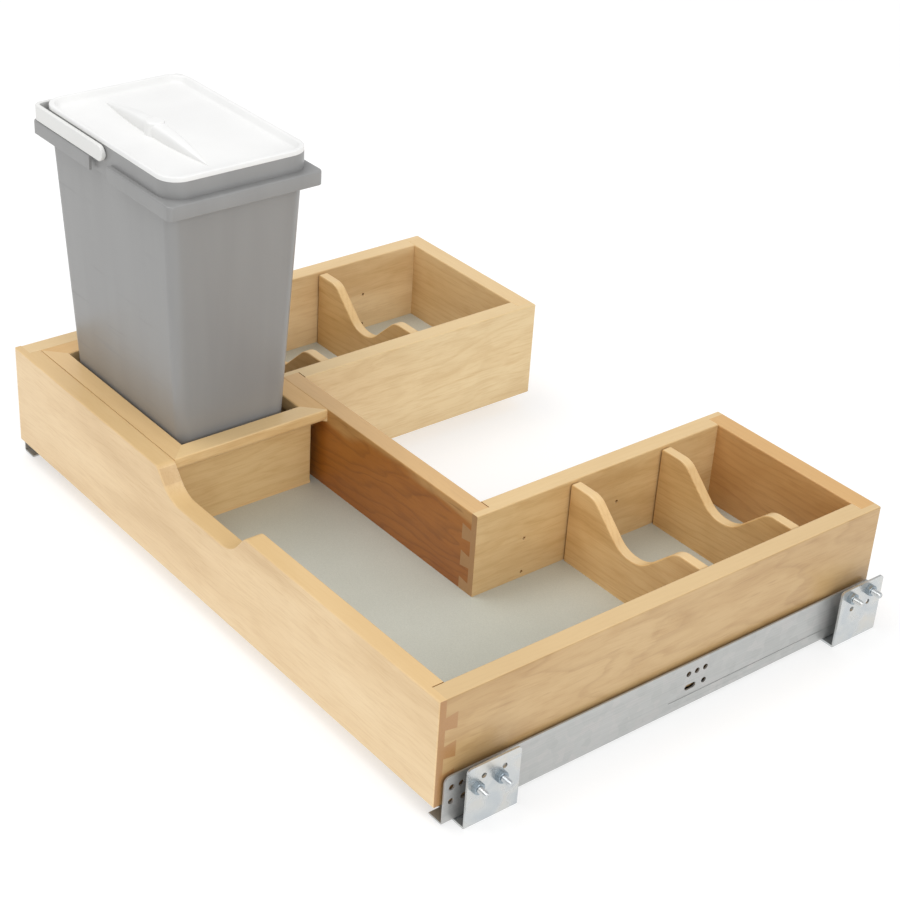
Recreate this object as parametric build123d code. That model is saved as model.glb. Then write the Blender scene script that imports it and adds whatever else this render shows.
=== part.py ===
from build123d import *
import os

# A pull-out drawer for the space under a sink: a U-shaped maple box on full-extension undermount
# slides, with a lidded waste bin standing in a holder frame in its front left corner.
# Millimetres. +Z is up, the drawer opens towards -Y, and +X is the right side seen from the front.
# The origin is on the ground below the middle of the box, at the level of the brackets' undersides.

os.makedirs("parts", exist_ok=True)

# ---- Drawer box ----
box_width = 676.0
box_depth = 500.0
side_height = 104.0
board = 19.0
wing_width = 204.0
bay_depth = 206.0  # front face to the back face of the centre panel
edge_ease = 1.5
floor_recess = 12.7
floor_ply = 6.0
laminate = 0.8
groove_depth = 8.0
box_lift = 19.5  # underside of the box above the ground

# ---- Half-blind dovetails ----
lap = 7.0
pin_count = 3
pin_pitch = side_height * 7 / 26
pin_wide = pin_pitch * 4 / 7
pin_narrow = pin_pitch * 3 / 7

# ---- Finger scoop in the front panel ----
scoop_depth = 25.5
scoop_bottom = 98.0
scoop_top = 141.0
scoop_hollow_r = 30.0
scoop_brow_r = 8.0

# ---- Dividers ----
divider_board = 10.5
divider_drop = 2.2  # top edge of the box to the dividers' crests
divider_crest_r = 3.0
divider_dip = 36.5
dip_bottom = 26.0
dip_top = 104.0
dip_hollow_r = 30.0
dip_brow_r = 20.0
divider_gap = 0.75
hole_pitch = 56.0
first_column = 244.0  # front face to the first column of divider holes
column_margin = 40.0  # last column to the back panel, at least
pin_d = 3.0
pin_reach = 3.5
pin_hole_depth = 9.0
pin_end_gap = 1.0  # pin's end to the bottom of its hole
pin_heights = (6.0, 42.0)  # above the floor
pin_clearance = 0.05
kerf_width = 4.2
kerf_depth = 4.6
divider_columns = {"left": (0, -2), "right": (1, -1)}

# ---- Bin holder ----
holder_length = 248.0
holder_rail = 20.0  # left and right rails; the front and back ones leave room for the bin
holder_thickness = 13.0
holder_overhang = 13.0
stand_board = 10.0
stand_gap = 9.0  # stand panel's back end to the centre panel
sill_height = 3.0
cleat_width = 12.0
cleat_height = 15.0
rail_underedge_r = 5.0

# ---- Bin ----
bin_offset = (2.0, -4.0)  # bin's centre from the middle of its holder
bin_room = 20.0  # holder's opening less the bin's foot, front to back
bin_foot = (188.0, 108.0)
bin_mouth = (211.0, 142.0)
bin_corner_r = 12.0
bin_wall = 2.2
bin_floor = 2.6
bin_foot_r = 3.0
bin_height = 327.0  # floor to the top of the rim
rim_size = (238.0, 158.0)
rim_height = 13.5
rim_corner_r = 5.0
rim_wall = 2.4
rim_edge_r = 1.0
collar_size = (220.0, 147.5)
collar_height = 15.5
collar_corner_r = 20.0
boss_length = 30.0

# ---- Lid ----
lid_bead = 4.5  # height of the raised edge
lid_bead_width = 4.0
lid_edge_r = 1.2
lid_recess = 3.2
lid_panel = 2.0
plug_depth = 8.0
plug_wall = 2.0
plug_clearance = 0.4
grip_length = 175.0
grip_width = 22.0
grip_height = 8.5
hub_d = 14.0
hub_rise = 1.0  # hub above the blade's crest
grip_offset = 20.0  # from the middle of the lid towards the front

# ---- Bail ----
bail_height = 15.0
bail_thickness = 4.5
bail_gap = 0.7  # collar to bail
bail_lift = 0.3  # rim top to bail
bail_corner_r = 9.0
bail_inset = 0.5  # bail's end to the rim's edge
bail_end_flat = 0.1  # left flat at the tip of each arm
pivot_d = 6.0
pivot_clearance = 0.05
pivot_depth = 3.0
pivot_end_gap = 0.2
pivot_skin = 0.4  # left of the collar's wall behind the pin

# ---- Slides ----
sheet = 1.5
slide_gap = 3.0  # side panel to the cabinet rail's web
web_height = 47.5
rail_front = 6.5
rail_rear_gap = 2.0
track_width = 28.0
track_gap = 0.5
flange_width = 22.0
track_lip = 5.0
bearing_gap = 4.0
roller_d = 3.4
roller_length = 14.0
roller_pitch = 15.0
roller_count = 11
cage_thickness = 1.2
cage_side = 2.0
cage_start = 150.0
keeper_gap = 2.6
middle_start = 26.0
middle_rear_gap = 24.0
window_side = 0.5  # roller to the edge of its window in the cage
web_corner_r = 6.0
bend_r = 2.5
crease_height = 13.0
crease_depth = 0.4
crease_width = 1.4
toe_width = 17.0  # the rail's front end is cut back to this beside the web
toe_setback = 18.0
hole_d = 5.6
hole_row_pitch = 9.8
slot_length = 13.0
upper_row = 12.0  # below the web's top edge
lower_row = 26.0
group_start = 7.5  # rail's front end to its first hole
middle_group = 21.0  # middle of the box to the rear group's first hole
slot_shift = 0.35  # slot's centre from the nearest upper hole, in pitches

# ---- Brackets ----
bracket_sheet = 2.0
bracket_gap = 15.0  # side panel to the bracket's plate
bracket_length = 54.0
bracket_height = 60.0
bracket_flange = 37.0
bracket_corner_r = 4.0
front_bracket_start = 19.0
screw_hole_d = 5.0
screw_pitch = 21.0
stud_d = 6.0
stud_pitch = 24.0
stud_length = 14.0
stud_clearance = 0.05  # stud to its hole in the plate and to its nut
nut_flats = 10.0
nut_height = 5.0
nut_crown_d = 11.0
rivet_d = 4.0
rivet_head_d = 7.0
rivet_head = 1.2
rivet_head_r = 0.9
rivet_inside = 12.0  # drawer rail to the rivets
stud_tip = 0.8
nut_corner = 0.7

# ---- Locking devices ----
lock_width = 27.0
lock_length = 55.0
lock_gap = 1.0  # lock body to the drawer rail
lock_under = 0.5  # lock body above the boards' bottom edges
lock_corner_r = 6.0
lock_front_wall = 4.0
lock_back_wall = 3.0
lever_lift = 3.5  # lever above the boards' bottom edges
lever_thickness = 4.0
lever_clearance = 0.6
lever_arm = 34.0
lever_hub_d = 12.0
lever_pin_d = 4.0
lever_pin_cover = 1.0
lever_pin_gap = 0.3
lever_tab_d = 9.0
lever_inset = 10.0  # lock body's inner side to the lever's pivot
lever_setback = 12.0  # pivot to the lock body's back end
nose_width = 6.0
nose_setback = 12.0  # pivot to the nose
nose_reach = 0.3
nose_travel = 8.0
lock_screw_d = 3.5
lock_screw_length = 14.0
lock_screw_inset = 7.0
bumper_length = 8.0
bumper_gap = 2.0
bumper_drop = 6.0
bumper_r = 2.0

# ---- Derived levels ----
half = box_width / 2
front = -box_depth / 2
rear = box_depth / 2
low, top = box_lift, box_lift + side_height
floor_under = low + floor_recess
ply_top = floor_under + floor_ply
floor_top = ply_top + laminate
wing_inside = half - board
notch = half - wing_width
inner_inside = notch + board
centre_front = front + bay_depth - board
pin_levels = [(low + top) / 2 + (i - (pin_count - 1) / 2) * pin_pitch for i in range(pin_count)]
column_room = box_depth - board - column_margin - first_column
columns = [front + first_column + i * hole_pitch for i in range(int(column_room // hole_pitch) + 1)]

# Places that several pieces share
holder_x = (-wing_inside, -wing_inside + holder_length)
holder_y = (front + board, centre_front)
holder_under = top - holder_thickness
holder_front_rail = (holder_y[1] - holder_y[0] - bin_foot[1] - bin_room) / 2
bin_x = sum(holder_x) / 2 + bin_offset[0]
bin_y = sum(holder_y) / 2 + bin_offset[1]


def block(x, y, z):
    """A box between two limits on each axis."""
    size = [span[1] - span[0] for span in (x, y, z)]
    middle = [(span[0] + span[1]) / 2 for span in (x, y, z)]
    return Pos(*middle) * Box(*size)


def rod(centre, diameter, length, axis):
    """A round bar centred on a point, along X, Y or Z."""
    turn = {"x": Rot(0, 90, 0), "y": Rot(90, 0, 0), "z": Rot(0, 0, 0)}[axis]
    return Pos(*centre) * turn * Cylinder(diameter / 2, length)


def plate(points, plane, thickness):
    """A flat plate from (u, v, corner radius) points, grown from its plane along the normal."""
    outline = [plane.from_local_coords((u, v, 0)) for u, v, _ in points]
    face = make_face(Polyline(outline, close=True)).face()
    for u, v, radius in points:
        if radius:
            spot = plane.from_local_coords(Vector(u, v, 0))
            corner = min(face.vertices(), key=lambda vertex: (Vector(*vertex) - spot).length)
            face = face.fillet_2d(radius, [corner])
    return extrude(face, amount=thickness, dir=plane.z_dir)


def xz_plane(y):
    """A plane with u along +X and v along +Z, whose normal points to +Y."""
    return Plane(origin=(0, y, 0), x_dir=(-1, 0, 0), z_dir=(0, 1, 0))


def xz_plate(points, y, thickness):
    return plate([(-x, z, radius) for x, z, radius in points], xz_plane(y), thickness)


def edges_at(part, axis, level, along=None):
    """Edges that lie wholly at one level of an axis, and, if asked, run along another."""
    found = part.edges().filter_by_position(axis, level - 1e-4, level + 1e-4)
    return found.filter_by(along) if along else found


def pocket(size, radius, z, height):
    """A rounded rectangle about the bin's centre, grown upward."""
    outline = Pos(bin_x, bin_y, z) * RectangleRounded(size[0], size[1], radius)
    return extrude(outline, amount=height)


def shrink(size, wall):
    return (size[0] - 2 * wall, size[1] - 2 * wall)


def mirrored(part):
    return mirror(part, about=Plane.YZ)


def save(name, *solids):
    group = solids[0] if len(solids) == 1 else Compound(children=list(solids))
    export_step(group, f"parts/{name}.step")


# ---- Dovetails ----
def tails(x, y, shoulder, tip, along):
    """The dovetails on a board's end: its end block, less a wedge at each pin of the other board."""
    comb = block(x, y, (low, top))
    for level in pin_levels:
        wedge = [
            (shoulder, level - pin_wide / 2),
            (tip, level - pin_narrow / 2),
            (tip, level + pin_narrow / 2),
            (shoulder, level + pin_wide / 2),
        ]
        if along == "x":
            comb -= xz_plate([(u, v, 0) for u, v in wedge], y[0], y[1] - y[0])
        else:
            plane = Plane(origin=(x[0], 0, 0), x_dir=(0, 1, 0), z_dir=(1, 0, 0))
            comb -= plate([(u, v, 0) for u, v in wedge], plane, x[1] - x[0])
    return comb


side_tails = tails((wing_inside, half), (front + lap, front + board), front + board, front + lap, "y")


def cross_tails(x_shoulder, x_tip, y):
    """Tails on the end of a board that runs across the drawer."""
    return tails(sorted((x_shoulder, x_tip)), y, x_shoulder, x_tip, "x")


back_y = (rear - board, rear)
centre_y = (centre_front, centre_front + board)
back_outer_tails = cross_tails(wing_inside, half - lap, back_y)
back_inner_tails = cross_tails(inner_inside, notch + lap, back_y)
centre_tails = cross_tails(notch, inner_inside - lap, centre_y)

# ---- Floor, a U that enters every board's groove ----
inset = board - groove_depth


def floor_slab(z):
    """The U-shaped outline of the floor between two levels."""
    slab = block((-half + inset, half - inset), (front + inset, rear - inset), z)
    hollow = notch + inset
    return slab - block((-hollow, hollow), (centre_y[1] - inset, rear), z)


bottom_panel = floor_slab((floor_under, ply_top))
floor_laminate = floor_slab((ply_top, floor_top))
floor_blank = floor_slab((floor_under, floor_top))


def divider_holes(face, inward):
    """Two rows of blind holes for the divider pins, bored from a wall's face."""
    holes = Part()
    for y in columns:
        for height in pin_heights:
            centre = (face + inward * pin_hole_depth / 2, y, floor_top + height)
            holes += rod(centre, pin_d + 2 * pin_clearance, pin_hole_depth, "x")
    return holes


# ---- Boards ----
rail_passage = block(
    (wing_inside - track_width - track_gap - sheet, wing_inside),
    (rear - board, rear),
    (low, floor_under),
)


def make_front_panel():
    dip = top - scoop_depth
    outline = [
        (-half, low, 0),
        (half, low, 0),
        (half, top, 0),
        (scoop_top / 2, top, scoop_brow_r),
        (scoop_bottom / 2, dip, scoop_hollow_r),
        (-scoop_bottom / 2, dip, scoop_hollow_r),
        (-scoop_top / 2, top, scoop_brow_r),
        (-half, top, 0),
    ]
    panel = xz_plate(outline, front, board)
    upper = [e for e in edges_at(panel, Axis.Y, front + board) if e.center().Z > dip - 1]
    panel = fillet(upper, edge_ease)
    panel = fillet(edges_at(panel, Axis.Y, front), edge_ease)
    return panel - side_tails - mirrored(side_tails) - floor_blank


def make_right_side():
    panel = block((wing_inside, half), (front + lap, rear), (low, top))
    panel = fillet(edges_at(panel, Axis.Z, top, Axis.Y), edge_ease)
    panel = fillet(edges_at(panel, Axis.Y, rear, Axis.Z).sort_by(Axis.X)[-1], edge_ease)
    end = block((wing_inside, half), (front + lap, front + board), (low, top))
    panel -= end - side_tails
    return panel - back_outer_tails - floor_blank - divider_holes(wing_inside, 1)


def make_right_inner():
    panel = block((notch, inner_inside), (centre_front, rear), (low, top))
    panel = fillet(edges_at(panel, Axis.Z, top, Axis.Y), edge_ease)
    panel = fillet(edges_at(panel, Axis.Y, rear, Axis.Z).sort_by(Axis.X)[0], edge_ease)
    return panel - centre_tails - back_inner_tails - floor_blank - divider_holes(inner_inside, -1)


def make_right_back():
    panel = block((notch + lap, half - lap), back_y, (low, top))
    panel = fillet(edges_at(panel, Axis.Z, top, Axis.X), edge_ease)
    panel -= block((wing_inside, half - lap), back_y, (low, top)) - back_outer_tails
    panel -= block((notch + lap, inner_inside), back_y, (low, top)) - back_inner_tails
    return panel - floor_blank - rail_passage


def make_centre_panel():
    reach = inner_inside - lap
    panel = block((-reach, reach), centre_y, (low, top))
    panel = fillet(edges_at(panel, Axis.Z, top, Axis.X), edge_ease)
    waste = block((notch, reach), centre_y, (low, top)) - centre_tails
    return panel - waste - mirrored(waste) - floor_blank


# ---- Dividers ----
def make_divider(side, column):
    """One scooped divider that drops over the pins of its column."""
    x0, x1 = inner_inside + divider_gap, wing_inside - divider_gap
    middle = (x0 + x1) / 2
    crest = top - divider_drop
    dip = crest - divider_dip
    outline = [
        (x0, floor_top, 0),
        (x1, floor_top, 0),
        (x1, crest, divider_crest_r),
        (middle + dip_top / 2, crest, dip_brow_r),
        (middle + dip_bottom / 2, dip, dip_hollow_r),
        (middle - dip_bottom / 2, dip, dip_hollow_r),
        (middle - dip_top / 2, crest, dip_brow_r),
        (x0, crest, divider_crest_r),
    ]
    y = columns[column]
    divider = xz_plate(outline, y - divider_board / 2, divider_board)
    for level in (y - divider_board / 2, y + divider_board / 2):
        upper = [e for e in edges_at(divider, Axis.Y, level) if e.center().Z > dip - 1]
        divider = fillet(upper, edge_ease)
    kerf_top = floor_top + max(pin_heights) + pin_d
    for wall, inward in ((inner_inside, 1), (wing_inside, -1)):
        span = sorted((wall, wall + inward * kerf_depth))
        divider -= block(span, (y - kerf_width / 2, y + kerf_width / 2), (floor_top, kerf_top))
    return divider if side == "right" else mirrored(divider)


def make_divider_pins():
    pins = []
    length = pin_hole_depth + pin_reach - pin_end_gap
    for side, chosen in divider_columns.items():
        sign = 1 if side == "right" else -1
        for column in chosen:
            for height in pin_heights:
                for wall, inward in ((inner_inside, 1), (wing_inside, -1)):
                    x = wall + inward * (pin_reach - length / 2)
                    pins.append(rod((sign * x, columns[column], floor_top + height), pin_d, length, "x"))
    return pins


# ---- Bin holder: a mitred frame on a stand panel and cleats ----
def make_holder_rails():
    outer = [(holder_x[0], holder_y[0]), (holder_x[1], holder_y[0])]
    outer += [(holder_x[1], holder_y[1]), (holder_x[0], holder_y[1])]
    centre = Vector(sum(holder_x) / 2, sum(holder_y) / 2)
    inner = []
    for x, y in outer:
        inner.append((x - holder_rail if x > centre.X else x + holder_rail,
                      y - holder_front_rail if y > centre.Y else y + holder_front_rail))
    rails = {}
    for i, name in enumerate(("front", "right", "back", "left")):
        j = (i + 1) % 4
        points = [(*p, 0) for p in (outer[i], outer[j], inner[j], inner[i])]
        rails[name] = plate(points, Plane.XY.offset(holder_under), holder_thickness)
    opening = block((inner[0][0], inner[2][0]), (inner[0][1], inner[2][1]), (holder_under, top))
    for name, level, axis in (
        ("front", inner[0][1], Axis.Y),
        ("back", inner[2][1], Axis.Y),
        ("left", inner[0][0], Axis.X),
        ("right", inner[2][0], Axis.X),
    ):
        lip = [e for e in edges_at(rails[name], axis, level) if e.center().Z > top - 0.1]
        rails[name] = fillet(lip, edge_ease)
    outer_edges = edges_at(rails["right"], Axis.X, holder_x[1], Axis.Y)
    rails["right"] = fillet(outer_edges.sort_by(Axis.Z)[0], rail_underedge_r)
    outer_edges = edges_at(rails["right"], Axis.X, holder_x[1], Axis.Y)
    rails["right"] = fillet(outer_edges.sort_by(Axis.Z)[-1], edge_ease)
    return rails, opening


stand_x = (holder_x[1] - holder_overhang - stand_board, holder_x[1] - holder_overhang)
stand_y = (holder_y[0], holder_y[1] - stand_gap)
sill_top = floor_top + sill_height


def make_stand_panel():
    panel = block(stand_x, stand_y, (sill_top, holder_under))
    corner = edges_at(panel, Axis.Y, stand_y[1], Axis.Z).sort_by(Axis.X)[-1]
    return fillet(corner, edge_ease)


def make_cleats():
    z = (holder_under - cleat_height, holder_under)
    left_cleat = block((holder_x[0], holder_x[0] + cleat_width), holder_y, z)
    x = (holder_x[0] + cleat_width, stand_x[0])
    front_cleat = block(x, (holder_y[0], holder_y[0] + cleat_width), z)
    back_cleat = block(x, (holder_y[1] - cleat_width, holder_y[1]), z)
    return [left_cleat, front_cleat, back_cleat]


# ---- Bin ----
rim_top = floor_top + bin_height
rim_under = rim_top - rim_height
collar_top = rim_top + collar_height
pivot_z = rim_top + bail_lift + bail_height / 2


def tapered(foot, mouth, radius, z0, z1):
    """A rounded box that widens from its foot to its mouth."""
    sections = [
        Pos(bin_x, bin_y, z) * RectangleRounded(size[0], size[1], radius)
        for size, z in ((foot, z0), (mouth, z1))
    ]
    return loft(sections)


def make_bin():
    body = tapered(bin_foot, bin_mouth, bin_corner_r, floor_top, rim_top)
    body = fillet(edges_at(body, Axis.Z, floor_top), bin_foot_r)
    skirt = pocket(rim_size, rim_corner_r, rim_under, rim_height)
    skirt = fillet(edges_at(skirt, Axis.Z, rim_top), rim_edge_r)
    inner = shrink(rim_size, rim_wall)
    skirt -= pocket(inner, rim_corner_r - rim_wall, rim_under, rim_height - rim_wall)
    boss = block(
        (bin_x - boss_length / 2, bin_x + boss_length / 2),
        (bin_y - collar_size[1] / 2, bin_y + collar_size[1] / 2),
        (rim_under, rim_top),
    )
    gap = block(
        (bin_x - boss_length / 2, bin_x + boss_length / 2),
        (bin_y - rim_size[1], bin_y + rim_size[1]),
        (rim_under, rim_top),
    )
    collar_wall = pocket(collar_size, collar_corner_r, rim_top - rim_wall, collar_height + rim_wall)
    shell = body + (skirt - gap) + collar_wall + boss
    shell -= tapered(
        shrink(bin_foot, bin_wall),
        shrink(bin_mouth, bin_wall),
        bin_corner_r - bin_wall,
        floor_top + bin_floor,
        rim_top,
    )
    mouth = shrink(collar_size, bin_wall)
    shell -= pocket(mouth, collar_corner_r - bin_wall, rim_top, collar_height)
    shell -= make_pivot_bars()
    return shell


bail_end_r = (bail_height - bail_end_flat) / 2


def bail_y():
    inside = collar_size[1] / 2 + bail_gap
    return inside, inside + bail_thickness


def make_pivot_bars():
    """Two short pins that start in the collar's long walls and end blind in the bail's arms."""
    start = collar_size[1] / 2 - bin_wall + pivot_skin
    end = bail_y()[0] + pivot_depth - pivot_end_gap
    bars = Part()
    for sign in (-1, 1):
        y = bin_y + sign * (start + end) / 2
        bars += rod((bin_x, y, pivot_z), pivot_d, end - start, "y")
    return bars


def make_bail():
    y0, y1 = bail_y()
    reach = rim_size[0] / 2 - bail_inset
    z = (pivot_z - bail_height / 2, pivot_z + bail_height / 2)
    outer = block((bin_x - reach, bin_x + bail_height / 2), (bin_y - y1, bin_y + y1), z)
    inner = block((bin_x - reach + bail_thickness, bin_x + bail_height), (bin_y - y0, bin_y + y0), z)
    outer = fillet(edges_at(outer, Axis.X, bin_x - reach, Axis.Z), bail_corner_r)
    inner = fillet(
        edges_at(inner, Axis.X, bin_x - reach + bail_thickness, Axis.Z), bail_corner_r - bail_thickness
    )
    band = outer - inner
    band = fillet(edges_at(band, Axis.X, bin_x + bail_height / 2, Axis.Y), bail_end_r)
    for sign in (-1, 1):
        y = bin_y + sign * (y0 + pivot_depth / 2)
        band -= rod((bin_x, y, pivot_z), pivot_d + 2 * pivot_clearance, pivot_depth, "y")
    return band


# ---- Lid ----
def make_lid():
    lid_top = collar_top + lid_bead
    panel_top = lid_top - lid_recess
    lid = pocket(collar_size, collar_corner_r, collar_top, lid_bead)
    lid = fillet(edges_at(lid, Axis.Z, lid_top), lid_edge_r)
    plug = shrink(collar_size, bin_wall + plug_clearance)
    plug_r = collar_corner_r - bin_wall - plug_clearance
    lid += pocket(plug, plug_r, collar_top - plug_depth, plug_depth)
    well = shrink(collar_size, lid_bead_width)
    lid -= pocket(well, collar_corner_r - lid_bead_width, panel_top, lid_recess)
    hollow = shrink(plug, plug_wall)
    depth = panel_top - lid_panel - (collar_top - plug_depth)
    lid -= pocket(hollow, plug_r - plug_wall, collar_top - plug_depth, depth)
    return lid + make_grip(panel_top)


def make_grip(base):
    """A lens-shaped finger blade with an arched crest and a round hub at its middle."""
    start = base - lid_panel / 2
    y = bin_y - grip_offset
    ends = [(bin_x - grip_length / 2, y), (bin_x + grip_length / 2, y)]
    near = ThreePointArc(ends[0], (bin_x, y - grip_width / 2), ends[1])
    far = ThreePointArc(ends[1], (bin_x, y + grip_width / 2), ends[0])
    lens = extrude(Pos(0, 0, start) * make_face([near, far]), amount=grip_height * 2)
    crest_z = base + grip_height
    x0, x1 = ends[0][0], ends[1][0]
    arch = ThreePointArc((x0, y, base), (bin_x, y, crest_z), (x1, y, base))
    under = Polyline((x1, y, base), (x1, y, start), (x0, y, start), (x0, y, base))
    side = extrude(make_face([arch, under]), amount=grip_width, both=True)
    hub_height = crest_z + hub_rise - start
    hub = rod((bin_x, y, start + hub_height / 2), hub_d, hub_height, "z")
    return (lens & side) + hub


# ---- Right slide, mirrored for the left ----
track_x = (wing_inside - track_gap - track_width, wing_inside - track_gap)
track_mid = sum(track_x) / 2
flange_x = (track_mid - flange_width / 2, track_mid + flange_width / 2)
rail_z = bracket_sheet
track_floor = rail_z + sheet
track_roof = floor_under - sheet
middle_z = (track_floor + bearing_gap, track_roof - bearing_gap)
rail_y = (front + rail_front, rear - rail_rear_gap)
middle_y = (front + middle_start, rear - middle_rear_gap)
web_x = (half + slide_gap, half + slide_gap + sheet)
web_top = rail_z + web_height


def web_hole(y, below, length=0.0):
    """A round or slotted hole through the cabinet rail's web, measured from its top edge."""
    z = web_top - below
    x = sum(web_x) / 2
    cutter = rod((x, y, z), hole_d, 4 * sheet, "x")
    if length:
        reach = (length - hole_d) / 2
        cutter = rod((x, y - reach, z), hole_d, 4 * sheet, "x")
        cutter += rod((x, y + reach, z), hole_d, 4 * sheet, "x")
        across = (x - 2 * sheet, x + 2 * sheet)
        cutter += block(across, (y - reach, y + reach), (z - hole_d / 2, z + hole_d / 2))
    return cutter


def hole_group(start, slot_first):
    """Three holes over a slot and a hole; the slot is under the first or the last of the three."""
    group = Part()
    for i in range(3):
        group += web_hole(start + i * hole_row_pitch, upper_row)
    hole_at, slot_at = (2, slot_shift) if slot_first else (0, 2 - slot_shift)
    group += web_hole(start + hole_at * hole_row_pitch, lower_row)
    return group + web_hole(start + slot_at * hole_row_pitch, lower_row, slot_length)


def make_cabinet_rail():
    foot = track_x[0] - sheet
    rail = block((foot, web_x[1]), rail_y, (rail_z, track_floor))
    rail += block(web_x, rail_y, (rail_z, web_top))
    lip_z = middle_z[0] + sheet + keeper_gap
    rail += block((foot, foot + sheet), rail_y, (rail_z, lip_z + sheet))
    rail += block((foot, flange_x[0] + track_lip), rail_y, (lip_z, lip_z + sheet))
    outer = edges_at(rail, Axis.X, web_x[1], Axis.Y).sort_by(Axis.Z)[0]
    rail = fillet(outer, bend_r)
    for end in rail_y:
        corner = [e for e in edges_at(rail, Axis.Y, end, Axis.X) if abs(e.center().Z - web_top) < 0.01]
        rail = fillet(corner, web_corner_r)
    crease = rail_z + crease_height
    crease_z = (crease - crease_width / 2, crease + crease_width / 2)
    rail -= block((web_x[1] - crease_depth, web_x[1]), (0, rail_y[1]), crease_z)
    cut_back = (rail_y[0] - sheet, rail_y[0] + toe_setback)
    rail -= block((foot - sheet, web_x[1] - toe_width), cut_back, (0, web_top))
    rail -= hole_group(rail_y[0] + group_start, slot_first=False)
    return rail - hole_group(middle_group, slot_first=True)


def make_middle_rail():
    rail = block(flange_x, middle_y, (middle_z[0], middle_z[0] + sheet))
    rail += block(flange_x, middle_y, (middle_z[1] - sheet, middle_z[1]))
    return rail + block((track_mid - sheet / 2, track_mid + sheet / 2), middle_y, middle_z)


lip_level = middle_z[1] - sheet - keeper_gap
lever_z0 = low + lever_lift
lever_pivot_y = front + board + lock_length - lever_setback
lever_y = (lever_pivot_y, lever_pivot_y - lever_arm)
nose_y = lever_pivot_y - nose_setback


def make_drawer_rail():
    rail = block(track_x, middle_y, (track_roof, floor_under))
    for x0, inward in ((track_x[0], 1), (track_x[1], -1)):
        rail += block(sorted((x0, x0 + inward * sheet)), middle_y, (lip_level - sheet, floor_under))
        lip = sorted((x0, x0 + inward * ((track_width - flange_width) / 2 + track_lip)))
        rail += block(lip, middle_y, (lip_level - sheet, lip_level))
    window = (lever_z0 - lever_clearance, lever_z0 + lever_thickness + lever_clearance)
    span = (nose_y - nose_width - nose_travel, nose_y + nose_width)
    return rail - block((track_x[0], track_x[0] + sheet), span, window)


def make_rollers(z0):
    """A row of rollers, and the flat cage that keeps them apart."""
    start = front + cage_start
    z = z0 + bearing_gap / 2
    length = (roller_count + 1) * roller_pitch
    width = roller_length + 2 * (cage_side + window_side)
    cage = block(
        (track_mid - width / 2, track_mid + width / 2),
        (start, start + length),
        (z - cage_thickness / 2, z + cage_thickness / 2),
    )
    rollers = []
    for i in range(roller_count):
        y = start + (i + 1) * roller_pitch
        half_length = roller_length / 2 + window_side
        half_width = roller_d / 2 + window_side
        cage -= block(
            (track_mid - half_length, track_mid + half_length),
            (y - half_width, y + half_width),
            (z - cage_thickness, z + cage_thickness),
        )
        rollers.append(rod((track_mid, y, z), roller_d, roller_length, "x"))
    return cage, rollers


# ---- Brackets, studs, nuts and rivets on the right ----
plate_x = (half + bracket_gap, half + bracket_gap + bracket_sheet)
bracket_starts = {"front": front + front_bracket_start, "rear": rear - bracket_length}
# (first stud from the bracket's front edge, studs below its top, first hole, holes below its top)
bracket_rows = {"front": (9.0, 19.5, 16.5, 12.0), "rear": (11.5, 8.5, 16.0, 23.0)}
stud_bore = stud_d + 2 * stud_clearance
rivet_x = wing_inside + track_gap + rivet_inside


def make_bracket(end):
    y0 = bracket_starts[end]
    y = (y0, y0 + bracket_length)
    bracket = block(plate_x, y, (0, bracket_height))
    bracket += block((plate_x[1] - bracket_flange, plate_x[1]), y, (0, bracket_sheet))
    bracket = fillet(edges_at(bracket, Axis.X, plate_x[1], Axis.Y).sort_by(Axis.Z)[0], bend_r)
    for level in y:
        corner = edges_at(bracket, Axis.Y, level, Axis.X).sort_by(Axis.Z)[-1]
        bracket = fillet(corner, bracket_corner_r)
    stud_at, stud_below, hole_at, hole_below = bracket_rows[end]
    x = sum(plate_x) / 2
    for i in range(2):
        hole_y = y0 + hole_at + i * screw_pitch
        bracket -= rod((x, hole_y, bracket_height - hole_below), screw_hole_d, 4 * bracket_sheet, "x")
        stud_y = y0 + stud_at + i * stud_pitch
        bracket -= rod((x, stud_y, bracket_height - stud_below), stud_bore, 4 * bracket_sheet, "x")
        bracket -= rod((rivet_x, y0 + rivet_inset(i), rail_z), rivet_d, 4 * bracket_sheet, "z")
    return bracket


def rivet_inset(i):
    return bracket_length / 4 + i * bracket_length / 2


def make_studs_and_nuts():
    studs, nuts = [], []
    for end, y0 in bracket_starts.items():
        stud_at, stud_below = bracket_rows[end][:2]
        for i in range(2):
            y = y0 + stud_at + i * stud_pitch
            z = bracket_height - stud_below
            length = bracket_sheet + stud_length
            stud = rod((plate_x[0] + length / 2, y, z), stud_d, length, "x")
            studs.append(chamfer(edges_at(stud, Axis.X, plate_x[0] + length), stud_tip))
            hexagon = Rot(0, 90, 0) * RegularPolygon(nut_flats / 2, 6, major_radius=False)
            nut = extrude(Pos(plate_x[1], y, z) * hexagon, amount=nut_height, dir=(1, 0, 0))
            crown = rod((plate_x[1] + nut_height / 2, y, z), nut_crown_d, nut_height, "x")
            crown = chamfer(edges_at(crown, Axis.X, plate_x[1] + nut_height), nut_corner)
            nut = (nut & crown) - rod((plate_x[1] + nut_height / 2, y, z), stud_bore, nut_height, "x")
            nuts.append(nut)
    return studs, nuts


def make_rivets():
    rivets = []
    for y0 in bracket_starts.values():
        for i in range(2):
            y = y0 + rivet_inset(i)
            shank = rod((rivet_x, y, track_floor / 2), rivet_d, track_floor, "z")
            head = rod((rivet_x, y, track_floor + rivet_head / 2), rivet_head_d, rivet_head, "z")
            head = fillet(edges_at(head, Axis.Z, track_floor + rivet_head), rivet_head_r)
            rivets.append(shank + head)
    return rivets


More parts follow.
